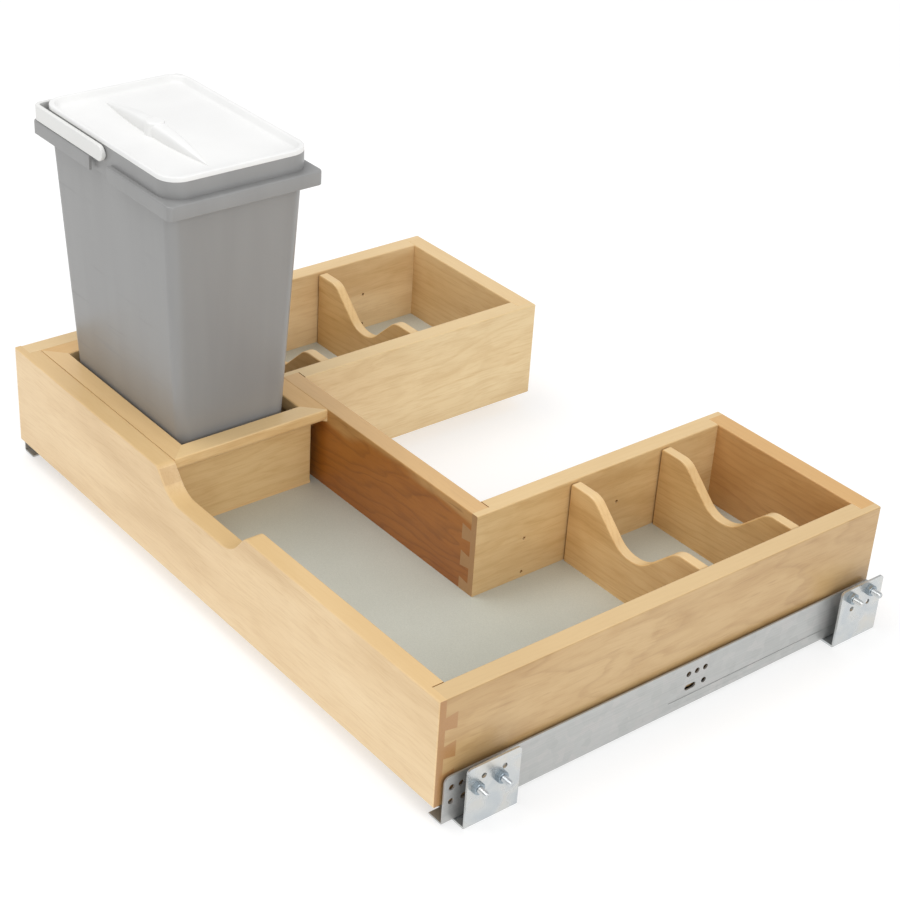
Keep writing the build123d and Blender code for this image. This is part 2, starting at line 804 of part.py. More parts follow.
def rivet_holes():
    holes = Part()
    for y0 in bracket_starts.values():
        for i in range(2):
            holes += rod((rivet_x, y0 + rivet_inset(i), rail_z), rivet_d, 4 * bracket_sheet, "z")
    return holes


# ---- Locking device on the right ----
lock_x = (track_x[0] - lock_gap - lock_width, track_x[0] - lock_gap)
lock_y = (front + board, front + board + lock_length)
lock_z = (low + lock_under, floor_under)
pivot_xy = (lock_x[0] + lever_inset, lever_pivot_y)
slot_z = (lever_z0 - lever_clearance, lever_z0 + lever_thickness + lever_clearance)
lock_screw_z = (slot_z[1] + floor_under) / 2
lock_screw_x = (lock_x[0] + lock_screw_inset, lock_x[1] - lock_screw_inset)


def make_lock_body():
    body = block(lock_x, lock_y, lock_z)
    body = fillet(edges_at(body, Axis.Y, lock_y[1], Axis.Z), lock_corner_r)
    body -= block(lock_x, (lock_y[0] + lock_front_wall, lock_y[1] - lock_back_wall), slot_z)
    for x in lock_screw_x:
        body -= rod((x, lock_y[0] + lock_front_wall / 2, lock_screw_z), lock_screw_d, lock_front_wall, "y")
    bore = lever_pin_d + 2 * pin_clearance
    return body - rod((*pivot_xy, sum(lock_z) / 2), bore, lock_z[1] - lock_z[0] - 2 * lever_pin_cover, "z")


def make_lever():
    z = (lever_z0, lever_z0 + lever_thickness)
    middle = sum(z) / 2
    pivot_length = lock_z[1] - lock_z[0] - 2 * (lever_pin_cover + lever_pin_gap)
    edge = pivot_xy[0] - lever_hub_d / 2
    lever = rod((*pivot_xy, middle), lever_hub_d, lever_thickness, "z")
    lever += rod((*pivot_xy, sum(lock_z) / 2), lever_pin_d, pivot_length, "z")
    lever += block((edge, edge + lever_tab_d), (lever_y[1], lever_y[0]), z)
    nose = (nose_y - nose_width / 2, nose_y + nose_width / 2)
    lever += block((edge, track_x[0] + sheet + nose_reach), nose, z)
    return lever + rod((edge + lever_tab_d / 2, lever_y[1], middle), lever_tab_d, lever_thickness, "z")


def make_lock_screws():
    screws = []
    for x in lock_screw_x:
        y = lock_y[0] + lock_front_wall - lock_screw_length / 2
        screws.append(rod((x, y, lock_screw_z), lock_screw_d, lock_screw_length, "y"))
    return screws


def make_bumper():
    y = (middle_y[1] + bumper_gap, middle_y[1] + bumper_gap + bumper_length)
    z = (track_floor, middle_z[1] - bumper_drop)
    bumper = block((flange_x[0] + track_lip + track_gap, flange_x[1]), y, z)
    return fillet(edges_at(bumper, Axis.Y, y[0]), bumper_r)


# ---- Write every node ----
front_panel = make_front_panel()
right_side, right_inner, right_back = make_right_side(), make_right_inner(), make_right_back()
screws = make_lock_screws()
for screw in screws:
    front_panel -= screw
    front_panel -= mirrored(screw)
save("front_panel", front_panel)
save("right_side_panel", right_side)
save("left_side_panel", mirrored(right_side))
save("right_wing_inner_panel", right_inner)
save("left_wing_inner_panel", mirrored(right_inner))
save("right_wing_back_panel", right_back)
save("left_wing_back_panel", mirrored(right_back))
save("centre_panel", make_centre_panel())
save("bottom_panel", bottom_panel)
save("floor_laminate", floor_laminate)

for side, chosen in divider_columns.items():
    for place, column in zip(("front", "rear"), chosen):
        save(f"{side}_{place}_divider", make_divider(side, column))
save("divider_pins", *make_divider_pins())

holder_rails, holder_opening = make_holder_rails()
for place, rail in holder_rails.items():
    save(f"holder_{place}_rail", rail)
save("holder_stand_panel", make_stand_panel())
save("holder_sill", block(stand_x, stand_y, (floor_top, sill_top)))
save("holder_cleats", *make_cleats())

save("bin_body", make_bin())
save("bin_lid", make_lid())
save("bin_bail", make_bail())
save("bail_pivots", *make_pivot_bars().solids())

cabinet_rail = make_cabinet_rail() - rivet_holes()
lower_cage, lower_rollers = make_rollers(track_floor)
upper_cage, upper_rollers = make_rollers(middle_z[1])
studs, nuts = make_studs_and_nuts()
slide_nodes = {
    "cabinet_rail": [cabinet_rail],
    "middle_rail": [make_middle_rail()],
    "drawer_rail": [make_drawer_rail()],
    "lower_roller_cage": [lower_cage],
    "lower_rollers": lower_rollers,
    "upper_roller_cage": [upper_cage],
    "upper_rollers": upper_rollers,
    "front_bracket": [make_bracket("front")],
    "rear_bracket": [make_bracket("rear")],
    "bracket_studs": studs,
    "bracket_nuts": nuts,
    "bracket_rivets": make_rivets(),
    "lock_body": [make_lock_body()],
    "release_lever": [make_lever()],
    "stop_bumper": [make_bumper()],
}
for name, solids in slide_nodes.items():
    save(f"right_{name}", *solids)
    save(f"left_{name}", *[mirrored(solid) for solid in solids])
save("lock_screws", *screws, *[mirrored(screw) for screw in screws])
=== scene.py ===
# %% [markdown]
# A pull-out drawer for the cupboard under a sink.
# It is a U-shaped maple box on undermount slides, with a lidded waste bin, dividers and zinc brackets.
# The imported model comes first, because every piece and every finish below takes its place from it.

# %% The fixed frame
import math

import bpy
import numpy as np
from mathutils import Matrix, Vector


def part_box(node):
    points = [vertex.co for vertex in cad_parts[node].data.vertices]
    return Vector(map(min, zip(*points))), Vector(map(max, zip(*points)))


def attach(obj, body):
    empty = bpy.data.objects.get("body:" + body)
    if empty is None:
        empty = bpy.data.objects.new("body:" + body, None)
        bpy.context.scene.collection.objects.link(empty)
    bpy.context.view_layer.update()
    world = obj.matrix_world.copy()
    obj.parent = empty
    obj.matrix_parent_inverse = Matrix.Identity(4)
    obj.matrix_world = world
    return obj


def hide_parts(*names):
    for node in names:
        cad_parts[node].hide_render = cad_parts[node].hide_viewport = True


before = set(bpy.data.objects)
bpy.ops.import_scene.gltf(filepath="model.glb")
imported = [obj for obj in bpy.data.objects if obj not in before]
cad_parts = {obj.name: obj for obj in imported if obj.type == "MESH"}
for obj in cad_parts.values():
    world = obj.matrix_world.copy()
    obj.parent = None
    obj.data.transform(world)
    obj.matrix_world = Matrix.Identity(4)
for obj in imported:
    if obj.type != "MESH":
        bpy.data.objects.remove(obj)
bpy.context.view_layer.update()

MM = 0.001
scene = bpy.context.scene

# %% [markdown]
# The camera stands to the right of the box, in front of it and above it, as a shop's photographer does.
# A camera can be aimed with a constraint or with angles; here three axes are written out as a matrix,
# because a small roll about the view direction then needs no extra object.
# The shift slides the picture a little in its frame without turning the camera.
# The standard view transform keeps a white floor white.

# %% Camera
VIEW_BACK = Vector((0.6655, -0.5366, 0.5188)).normalized()
CAMERA_PLACE = Vector((1.2207, -1.0073, 1.0335))
CAMERA_ROLL = math.radians(2.986)

camera_data = bpy.data.cameras.new("studio_camera")
camera = bpy.data.objects.new("studio_camera", camera_data)
scene.collection.objects.link(camera)
level = Vector((0, 0, 1)).cross(VIEW_BACK).normalized()
upright = VIEW_BACK.cross(level)
across = math.cos(CAMERA_ROLL) * level + math.sin(CAMERA_ROLL) * upright
upward = math.cos(CAMERA_ROLL) * upright - math.sin(CAMERA_ROLL) * level
turn = Matrix((across, upward, VIEW_BACK)).transposed().to_4x4()
camera.matrix_world = Matrix.Translation(CAMERA_PLACE) @ turn
camera_data.lens = 78.08
camera_data.sensor_width = 36.0
camera_data.shift_x = 0.05
camera_data.shift_y = 0.02
camera_data.clip_end = 50.0
scene.camera = camera
scene.view_settings.view_transform = "Standard"
print("camera distance from the box:", round(CAMERA_PLACE.length, 3), "m")

# %% [markdown]
# Every colour is written the way a paint chart gives it, as an sRGB hex value.
# Shaders want linear light, so one function turns a hex value to linear numbers.
# A second small function adds a node with its settings, its values and its links,
# which keeps each finish short enough to read as a recipe.
# In a colour Mix node, input 0 is the share, inputs 6 and 7 are the two colours, and output 2 is the result.

# %% Colour and node helpers
def srgb(hex_colour):
    """Each channel is undone from its sRGB curve: a straight part near black, a power of 2.4 above."""
    channels = [int(hex_colour[i:i + 2], 16) / 255 for i in (1, 3, 5)]
    linear = [c / 12.92 if c <= 0.04045 else ((c + 0.055) / 1.055) ** 2.4 for c in channels]
    return (*linear, 1.0)


def add(tree, kind, inputs=None, stops=None, **settings):
    """Adds one node. Settings are its properties, inputs are values or links, stops fill a colour ramp."""
    node = tree.nodes.new(kind)
    for name, value in settings.items():
        setattr(node, name, value)
    for socket, source in (inputs or {}).items():
        if isinstance(source, bpy.types.NodeSocket):
            tree.links.new(source, node.inputs[socket])
        else:
            node.inputs[socket].default_value = source
    if stops:
        elements = node.color_ramp.elements
        while len(elements) < len(stops):
            elements.new(0.5)
        for element, (place, colour) in zip(elements, stops):
            element.position = place
            element.color = srgb(colour)
    return node


def new_finish(name):
    """An empty material; returns it and its node tree."""
    finish = bpy.data.materials.new(name)
    finish.use_nodes = True
    finish.node_tree.nodes.clear()
    return finish, finish.node_tree


def close_finish(tree, surface, height=None, bump=0.0, depth=0.0):
    """Gives the surface its relief, if it has one, and links it to the output."""
    if height is not None:
        relief = add(tree, "ShaderNodeBump", {"Height": height, "Strength": bump, "Distance": depth})
        tree.links.new(relief.outputs["Normal"], surface.inputs["Normal"])
    add(tree, "ShaderNodeOutputMaterial", {"Surface": surface.outputs["BSDF"]})


print("white is", [round(c, 3) for c in srgb("#FFFFFF")])

# %% [markdown]
# The studio is a pale light table with white walls all round.
# The walls could be modelled, but a plain white world gives the same even fill for nothing.
# One soft lamp hangs high over the front left. A second one, as strong, stands off to the right and
# keeps the faces on that side from going dull.

# %% Floor and light
FLOOR_SIZE = 12.0
FLOOR_GLOW = 0.55
KEY_FROM = Vector((-0.95, -0.8, 3.05))
KEY_SIZE, KEY_POWER = 2.0, 39.0
FILL_FROM = Vector((3.1, -0.3, 1.7))
FILL_SIZE, FILL_POWER = 2.0, 40.0
WALL_LIGHT = 0.68
AIM_HEIGHT = 0.1

half_floor = FLOOR_SIZE / 2
floor_mesh = bpy.data.meshes.new("studio_floor")
floor_corners = [(x * half_floor, y * half_floor, 0) for x, y in ((-1, -1), (1, -1), (1, 1), (-1, 1))]
floor_mesh.from_pydata(floor_corners, [], [(0, 1, 2, 3)])
studio_floor = bpy.data.objects.new("studio_floor", floor_mesh)
scene.collection.objects.link(studio_floor)

# Seamless paper on a light table: matt, lit a little from below, with a breath of tone.
paper, tree = new_finish("seamless_paper")
paper_place = add(tree, "ShaderNodeTexCoord")
paper_cloud = add(tree, "ShaderNodeTexNoise", {"Vector": paper_place.outputs["Object"], "Scale": 1.5})
paper_tone = add(tree, "ShaderNodeValToRGB", {"Fac": paper_cloud.outputs["Fac"]},
                 stops=[(0.3, "#BBBBBA"), (0.7, "#BFBFBE")])
close_finish(tree, add(tree, "ShaderNodeBsdfPrincipled", {
    "Base Color": paper_tone.outputs["Color"], "Roughness": 0.9, "Specular IOR Level": 0.2,
    "Emission Color": srgb("#FFFFFF"), "Emission Strength": FLOOR_GLOW}))
floor_mesh.materials.append(paper)


def softbox(name, place, size, power):
    """A square lamp that faces the middle of the drawer."""
    lamp_data = bpy.data.lights.new(name, "AREA")
    lamp_data.size = size
    lamp_data.energy = power
    lamp = bpy.data.objects.new(name, lamp_data)
    scene.collection.objects.link(lamp)
    aim = (place - Vector((0, 0, AIM_HEIGHT))).to_track_quat("Z", "Y")
    lamp.matrix_world = Matrix.Translation(place) @ aim.to_matrix().to_4x4()


softbox("key_softbox", KEY_FROM, KEY_SIZE, KEY_POWER)
softbox("fill_softbox", FILL_FROM, FILL_SIZE, FILL_POWER)
walls = bpy.data.worlds.new("white_walls")
walls.use_nodes = True
wall_light = walls.node_tree.nodes["Background"].inputs
wall_light["Color"].default_value = srgb("#FDFDFF")
wall_light["Strength"].default_value = WALL_LIGHT
scene.world = walls

# %% [markdown]
# Hard maple is pale, close-grained and satin once it is lacquered.
# A board is a slice through a trunk, so its figure is rings about a pith that lies outside the board.
# The recipe follows that: a solid texture of rings, with its axis laid along the grain and tilted by one
# to three degrees, so that the slice opens into long loops. An image of wood would stretch and repeat;
# a solid texture also gives the right figure on the ends, where the grain is cut across.
# Rings are about 5 mm apart. Fibres are drawn 1.6 mm wide, coarser than real ones, so that they show.

# %% Maple, planed and lacquered
RING_SPACING = 5.0 * MM
RING_SCALE = 2 * math.pi / (20 * RING_SPACING)  # a wave texture repeats every 2 pi / (20 x its scale)
# Each figure's cell: its length along the grain and its width across it.
WANDER_CELL = (130 * MM, 34 * MM)
STRENGTH_CELL = (320 * MM, 20 * MM)
TONE_CELL = (320 * MM, 60 * MM)
FIBRE_CELL = (30 * MM, 1.6 * MM)
MOTTLE_CELL = (48 * MM, 17 * MM)
FLECK_CELL = (45 * MM, 3.2 * MM)
HEART_WANDER, HEART_FADE = 55 * MM, 9 * MM
# Painted light and shade on the faces that look up, common to most boards.
PAINTED_TOP_SHADING = "#E4C591"
GRAIN_TURN = {"x": (0, 0, 0), "y": (0, 0, -math.pi / 2)}
GRAIN_AXIS = {"x": (1, 0, 0), "y": (0, 1, 0)}


def grain_noise(tree, vector, cell, **inputs):
    """Noise drawn out along X, so that its cells have the length and the width given in metres."""
    length, width = cell
    drawn = add(tree, "ShaderNodeMapping", {"Vector": vector, "Scale": (1 / length, 1 / width, 1 / width)})
    return add(tree, "ShaderNodeTexNoise", {"Vector": drawn.outputs["Vector"], "Scale": 1.0, **inputs})


def maple(name, grain, pith, pale, dark, end, tilt, flow, contrast, rough=0.36, sapwood=None,
          top_shading=PAINTED_TOP_SHADING):
    """Rings about a pith offset from the board, bent by slow noise, then tone, fibres, curl and flecks.
    pith is millimetres along, across and up from the origin once the grain has been laid along X.
    sapwood is the height in metres above which the board turns pale, with its own two tones.
    top_shading is painted light and shade on the faces that look up, and end the tone of the faces cut across
    the grain."""
    finish, tree = new_finish(name)
    place = add(tree, "ShaderNodeTexCoord")
    laid = add(tree, "ShaderNodeMapping", {
        "Vector": place.outputs["Object"], "Location": [p * MM for p in pith],
        "Rotation": GRAIN_TURN[grain]})
    along = laid.outputs["Vector"]
    # The trunk is never straight: slow noise, far longer along the grain than across it, bends the rings.
    wander = grain_noise(tree, along, WANDER_CELL, Detail=2.5)
    centred = add(tree, "ShaderNodeVectorMath", {0: wander.outputs["Color"], 1: (0.5, 0.5, 0.5)},
                  operation="SUBTRACT")
    bend = add(tree, "ShaderNodeVectorMath", {0: centred.outputs["Vector"], "Scale": flow * MM},
               operation="SCALE")
    bent = add(tree, "ShaderNodeVectorMath", {0: along, 1: bend.outputs["Vector"]},
               operation="ADD").outputs["Vector"]
    tilted = add(tree, "ShaderNodeMapping", {
        "Vector": bent, "Rotation": (0, math.radians(tilt[0]), math.radians(tilt[1]))})
    rings = add(tree, "ShaderNodeTexWave", {
        "Vector": tilted.outputs["Vector"], "Scale": RING_SCALE,
        "Distortion": 0.6, "Detail": 2.0, "Detail Scale": 2.0},
        wave_type="RINGS", rings_direction="X", wave_profile="SAW")
    # Each ring is pale early wood that darkens slowly to a thin line of late wood.
    year = add(tree, "ShaderNodeValToRGB", {"Fac": rings.outputs["Fac"]},
               stops=[(0.0, "#4A4A4A"), (0.12, "#000000"), (0.62, "#2E2E2E"), (0.92, "#B8B8B8"),
                      (1.0, "#707070")])
    # Some rings are stronger than others.
    strength = grain_noise(tree, bent, STRENGTH_CELL, Detail=3.0)
    graded = add(tree, "ShaderNodeMath", {0: year.outputs["Color"], 1: strength.outputs["Fac"]},
                 operation="MULTIPLY")
    ring_share = add(tree, "ShaderNodeMath", {0: graded.outputs["Value"], 1: contrast * 2.0},
                     operation="MULTIPLY", use_clamp=True)
    early, late = srgb(pale), srgb(dark)
    if sapwood:
        # The border of the heartwood wanders along the board.
        heights = add(tree, "ShaderNodeSeparateXYZ", {"Vector": place.outputs["Object"]})
        border = add(tree, "ShaderNodeMath", {0: wander.outputs["Fac"], 1: HEART_WANDER,
                                              2: heights.outputs["Z"]}, operation="MULTIPLY_ADD")
        outside = add(tree, "ShaderNodeMapRange", {
            "Value": border.outputs["Value"], "From Min": sapwood[0],
            "From Max": sapwood[0] + HEART_FADE}, interpolation_type="SMOOTHSTEP")
        early, late = [add(tree, "ShaderNodeMix", {0: outside.outputs["Result"], 6: inner, 7: srgb(outer)},
                           data_type="RGBA").outputs[2] for inner, outer in ((early, sapwood[1]),
                                                                            (late, sapwood[2]))]
    colour = add(tree, "ShaderNodeMix", {0: ring_share.outputs["Value"], 6: early, 7: late},
                 data_type="RGBA").outputs[2]
    # Three noises darken it in turn: slow tone, fibres as fine streaks, and curl as a soft mottle.
    tone = grain_noise(tree, along, TONE_CELL, Detail=2.0)
    fibre = grain_noise(tree, bent, FIBRE_CELL, Detail=4.0, Roughness=0.6)
    mottle = grain_noise(tree, bent, MOTTLE_CELL, Detail=2.0, Distortion=0.5)
    for noise, share, stops in ((tone, 0.85, [(0.3, "#E4D9C8"), (0.46, "#F8F4EE"), (0.66, "#FFFFFF")]),
                                (fibre, 0.4, [(0.32, "#EADFD0"), (0.52, "#FFFFFF")]),
                                (mottle, contrast, [(0.33, "#EEE6DA"), (0.55, "#FFFFFF")])):
        tint = add(tree, "ShaderNodeValToRGB", {"Fac": noise.outputs["Fac"]}, stops=stops)
        colour = add(tree, "ShaderNodeMix", {0: share, 6: colour, 7: tint.outputs["Color"]},
                     data_type="RGBA", blend_type="MULTIPLY").outputs[2]
    # Three tones then lie over it: a few mineral flecks, painted light and shade on the faces that look up,
    # and the end grain, which drinks more lacquer. Each fades in between two values of its own measure.
    fleck = grain_noise(tree, bent, FLECK_CELL, Detail=1.0)
    upward_face = add(tree, "ShaderNodeVectorMath", {0: place.outputs["Normal"], 1: (0, 0, 1)},
                      operation="DOT_PRODUCT")
    facing = add(tree, "ShaderNodeVectorMath", {0: place.outputs["Normal"], 1: GRAIN_AXIS[grain]},
                 operation="DOT_PRODUCT")
    cut_across = add(tree, "ShaderNodeMath", {0: facing.outputs["Value"]}, operation="ABSOLUTE")
    for measure, low, high, most, over in ((fleck.outputs["Fac"], 0.64, 0.78, 0.4, dark),
                                           (upward_face.outputs["Value"], 0.6, 0.9, 0.7, top_shading),
                                           (cut_across.outputs["Value"], 0.7, 0.95, 0.82, end)):
        share = add(tree, "ShaderNodeMapRange", {
            "Value": measure, "From Min": low, "From Max": high, "To Min": 0.0, "To Max": most})
        colour = add(tree, "ShaderNodeMix", {0: share.outputs["Result"], 6: colour, 7: srgb(over)},
                     data_type="RGBA").outputs[2]
    gloss = add(tree, "ShaderNodeMapRange", {
        "Value": fibre.outputs["Fac"], "To Min": rough + 0.07, "To Max": rough - 0.05})
    board = add(tree, "ShaderNodeBsdfPrincipled", {
        "Base Color": colour, "Roughness": gloss.outputs["Result"], "IOR": 1.5,
        "Coat Weight": 0.15, "Coat Roughness": 0.22})
    close_finish(tree, board, fibre.outputs["Fac"], 0.25, 0.12 * MM)
    return finish


print("ring scale:", round(RING_SCALE, 1), "per metre")

# %% [markdown]
# No two boards come from the same slice, so each has its own pith, tilt and tone, and some tones carry
# painted shade.
# The front is the palest and calmest board; the right side is darker, partly its own tone and partly painted
# shade on that side, with soft loops.
# The right wing's back panel and the dividers inside the bay are darker and more saturated, as painted shade
# and bounce light, and the board across the back of the bay is heartwood, brown and strongly figured.
# The finish goes straight on the CAD boards, because their shape is already right.

# %% Boards and their finishes
# node: (grain, pith in mm, pale, dark, end, tilt in degrees, wander in mm, contrast)
BOARDS = {
    "front_panel": ("x", (40, 330, -150), "#F0D4A6", "#DAB782", "#96642F", (2.6, 1.7), 12, 0.22),
    # The right side's darker tones are partly painted shade on that side.
    "right_side_panel": ("y", (300, -430, -110), "#C2A374", "#9B7648", "#986934", (2.2, 2.6), 17, 0.5),
    "left_side_panel": ("y", (80, 250, 60), "#F0D5A8", "#D6B27C", "#986934", (1.1, 0.9), 12, 0.42),
    "left_wing_inner_panel": ("y", (20, 235, -170), "#E3CC9E", "#CCAB75", "#986934", (1.5, 1.0), 14, 0.5),
    "right_wing_inner_panel": ("y", (-70, -40, -140), "#E2C491", "#C69D62", "#AF7F4E", (0.9, 1.8), 14, 0.5),
    "left_wing_back_panel": ("x", (120, -120, -180), "#EDCD99", "#CFA468", "#986934", (1.2, 1.4), 12, 0.45),
    # The right wing's back and the dividers below: tones darkened and saturated as painted shade and bounce
    # light.
    "right_wing_back_panel": ("x", (-60, -140, -20), "#D7A86C", "#B37D46", "#986934", (2.4, 1.7), 13, 0.45),
    "left_front_divider": ("x", (30, 90, -160), "#E9C68F", "#CB9B5C", "#A97842", (2.2, 0.8), 11, 0.5),
    "left_rear_divider": ("x", (210, 60, -200), "#E2BE84", "#C29354", "#A97842", (1.4, 1.6), 11, 0.5),
    "right_front_divider": ("x", (-20, 40, -130), "#F1CC92", "#D2A05F", "#A97842", (1.8, 1.2), 12, 0.55),
    "right_rear_divider": ("x", (90, -80, -155), "#E4BF84", "#C49454", "#A97842", (1.0, 2.1), 12, 0.5),
    "holder_front_rail": ("x", (10, 280, -40), "#ECCD9A", "#CFA56B", "#986934", (1.0, 0.8), 9, 0.45),
    "holder_back_rail": ("x", (150, 140, -60), "#EACA95", "#CFA56B", "#986934", (1.2, 0.9), 9, 0.45),
    "holder_left_rail": ("y", (60, 390, -60), "#EED09E", "#D2AA70", "#986934", (1.1, 1.2), 9, 0.45),
    "holder_right_rail": ("y", (-30, 170, -60), "#EBCA93", "#CFA265", "#986934", (0.8, 1.5), 9, 0.5),
    "holder_stand_panel": ("y", (10, 180, -210), "#E1C38E", "#CAA267", "#986934", (1.6, 0.8), 12, 0.45),
    "holder_sill": ("y", (70, 120, 10), "#E7C792", "#C99C62", "#986934", (1.0, 1.0), 8, 0.45),
    "holder_cleats": ("x", (90, 250, 40), "#E5C48C", "#C4985C", "#986934", (1.0, 1.3), 9, 0.45),
}


def finish_node(node, finish):
    """Puts one finish on every material slot of a CAD node."""
    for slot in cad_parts[node].material_slots:
        slot.material = finish


# A few boards get their own painted shading on their top faces, lighter or darker than the common one.
PAINTED_TOP_SHADING_BY_BOARD = {"front_panel": "#DDB97F", "right_wing_back_panel": "#D9AE70", "holder_left_rail": "#D8A863",
             "holder_right_rail": "#EBCB95", "holder_front_rail": "#E3BF88", "holder_back_rail": "#D8A863"}
for node, (grain, pith, pale, dark, end, tilt, wander, contrast) in BOARDS.items():
    finish_node(node, maple("lacquered_maple_" + node, grain, pith, pale, dark, end, tilt, wander, contrast,
                            top_shading=PAINTED_TOP_SHADING_BY_BOARD.get(node, PAINTED_TOP_SHADING)))
# The centre panel's top faces get painted light and shade of their own, #E2BC84.
heartwood = maple("lacquered_heartwood_centre_panel", "x", (60, 190, -120), "#B9752B", "#854D19", "#8A5831",
                  (3.4, 2.4), 26, 0.7, rough=0.34, sapwood=(136 * MM, "#CFA063", "#B58445"),
                  top_shading="#E2BC84")
finish_node("centre_panel", heartwood)
print("boards finished:", len(BOARDS) + 1)

# %% [markdown]
# The floor of the box is plywood with a grey melamine sheet on top.
# Birch ply is peeled from the log, so its figure is broad and wavy: rings cut almost along themselves.
# The melamine is a matt paper-backed sheet; its only detail is a very fine speckle, drawn 0.9 mm across.

# %% Plywood and melamine
def birch_ply():
    """Peeled veneer: slow noise stretched along the grain and folded into bands, with pale fibres."""
    finish, tree = new_finish("lacquered_birch_ply")
    place = add(tree, "ShaderNodeTexCoord")
    stretch = add(tree, "ShaderNodeMapping", {"Vector": place.outputs["Object"], "Scale": (2.2, 11.0, 11.0)})
    slow = add(tree, "ShaderNodeTexNoise", {"Vector": stretch.outputs["Vector"], "Scale": 1.0, "Detail": 3.0,
                                            "Distortion": 1.4})
    bands = add(tree, "ShaderNodeMath", {0: slow.outputs["Fac"], 1: 9.0}, operation="MULTIPLY")
    folded = add(tree, "ShaderNodeMath", {0: bands.outputs["Value"], 1: 1.0}, operation="PINGPONG")
    veneer = add(tree, "ShaderNodeValToRGB", {"Fac": folded.outputs["Value"]},
                 stops=[(0.0, "#E0C79A"), (0.7, "#D8BC8B"), (1.0, "#C5A36D")])
    fibre = grain_noise(tree, place.outputs["Object"], FIBRE_CELL, Detail=3.0)
    fibre_tone = add(tree, "ShaderNodeValToRGB", {"Fac": fibre.outputs["Fac"]},
                     stops=[(0.3, "#DED2BE"), (0.6, "#FFFFFF")])
    colour = add(tree, "ShaderNodeMix", {0: 0.7, 6: veneer.outputs["Color"], 7: fibre_tone.outputs["Color"]},
                 data_type="RGBA", blend_type="MULTIPLY")
    sheet = add(tree, "ShaderNodeBsdfPrincipled", {"Base Color": colour.outputs[2], "Roughness": 0.42})
    close_finish(tree, sheet, fibre.outputs["Fac"], 0.25, 0.1 * MM)
    return finish


def grey_melamine():
    """A flat warm grey, speckled about 0.9 mm and clouded very slightly, matt."""
    finish, tree = new_finish("matt_grey_melamine")
    place = add(tree, "ShaderNodeTexCoord")
    speckle = add(tree, "ShaderNodeTexNoise", {"Vector": place.outputs["Object"], "Scale": 1 / (0.9 * MM),
                                               "Detail": 2.0})
    cloud = add(tree, "ShaderNodeTexNoise", {"Vector": place.outputs["Object"], "Scale": 1 / 0.12,
                                             "Detail": 2.0})
    grains = add(tree, "ShaderNodeValToRGB", {"Fac": speckle.outputs["Fac"]},
                 stops=[(0.3, "#C1C3B7"), (0.5, "#C6C8BC"), (0.7, "#CBCDC1")])
    clouded = add(tree, "ShaderNodeValToRGB", {"Fac": cloud.outputs["Fac"]},
                  stops=[(0.3, "#F2F2F0"), (0.7, "#FFFFFF")])
    colour = add(tree, "ShaderNodeMix", {0: 1.0, 6: grains.outputs["Color"], 7: clouded.outputs["Color"]},
                 data_type="RGBA", blend_type="MULTIPLY")
    gloss = add(tree, "ShaderNodeMapRange", {"Value": cloud.outputs["Fac"], "To Min": 0.46, "To Max": 0.58})
    sheet = add(tree, "ShaderNodeBsdfPrincipled", {"Base Color": colour.outputs[2],
                                                   "Roughness": gloss.outputs["Result"]})
    close_finish(tree, sheet, speckle.outputs["Fac"], 0.2, 0.05 * MM)
    return finish


finish_node("bottom_panel", birch_ply())
finish_node("floor_laminate", grey_melamine())
print("floor finished")

# %% [markdown]
# The cabinet rails and the hidden slide members are galvanised sheet.
# Dip galvanising leaves flat crystals of zinc, the spangle, each of which throws the light its own way,
# so Voronoi cells change the roughness and the tone cell by cell. Rolling leaves faint lines on top.
# The brackets, studs and rivets are bright zinc plate instead: no crystals, a cool cast that clouds to
# a warm one, and a finer, glossier surface. The nuts are plated too, but darker and bluer.

# %% Galvanised and zinc plated steel
def galvanised(name, along, cell):
    """Spangle cells of one size with wandering edges, under fine lines rolled along the sheet."""
    finish, tree = new_finish(name)
    place = add(tree, "ShaderNodeTexCoord")
    wobble = add(tree, "ShaderNodeTexNoise", {"Vector": place.outputs["Object"], "Scale": 160.0,
                                              "Detail": 2.0})
    moved = add(tree, "ShaderNodeMix", {0: 0.004, 6: place.outputs["Object"], 7: wobble.outputs["Color"]},
                data_type="RGBA", blend_type="ADD")
    cells = add(tree, "ShaderNodeTexVoronoi", {"Vector": moved.outputs[2], "Scale": 1 / cell}, feature="F1")
    one = add(tree, "ShaderNodeSeparateColor", {"Color": cells.outputs["Color"]})
    tone = add(tree, "ShaderNodeValToRGB", {"Fac": one.outputs[0]},
               stops=[(0.0, "#B6B7B5"), (0.5, "#BABBB9"), (1.0, "#BEBDBB")])
    rolled = add(tree, "ShaderNodeMapping", {"Vector": place.outputs["Object"], "Scale": along})
    lines = add(tree, "ShaderNodeTexNoise", {"Vector": rolled.outputs["Vector"], "Scale": 1.0, "Detail": 3.0})
    line_tone = add(tree, "ShaderNodeValToRGB", {"Fac": lines.outputs["Fac"]},
                    stops=[(0.3, "#EDEEEE"), (0.65, "#FFFFFF")])
    colour = add(tree, "ShaderNodeMix", {0: 0.7, 6: tone.outputs["Color"], 7: line_tone.outputs["Color"]},
                 data_type="RGBA", blend_type="MULTIPLY")
    gloss = add(tree, "ShaderNodeMapRange", {"Value": one.outputs[1], "To Min": 0.38, "To Max": 0.50})
    sheet = add(tree, "ShaderNodeBsdfPrincipled", {
        "Base Color": colour.outputs[2], "Metallic": 0.6, "Roughness": gloss.outputs["Result"]})
    close_finish(tree, sheet, lines.outputs["Fac"], 0.3, 0.05 * MM)
    return finish


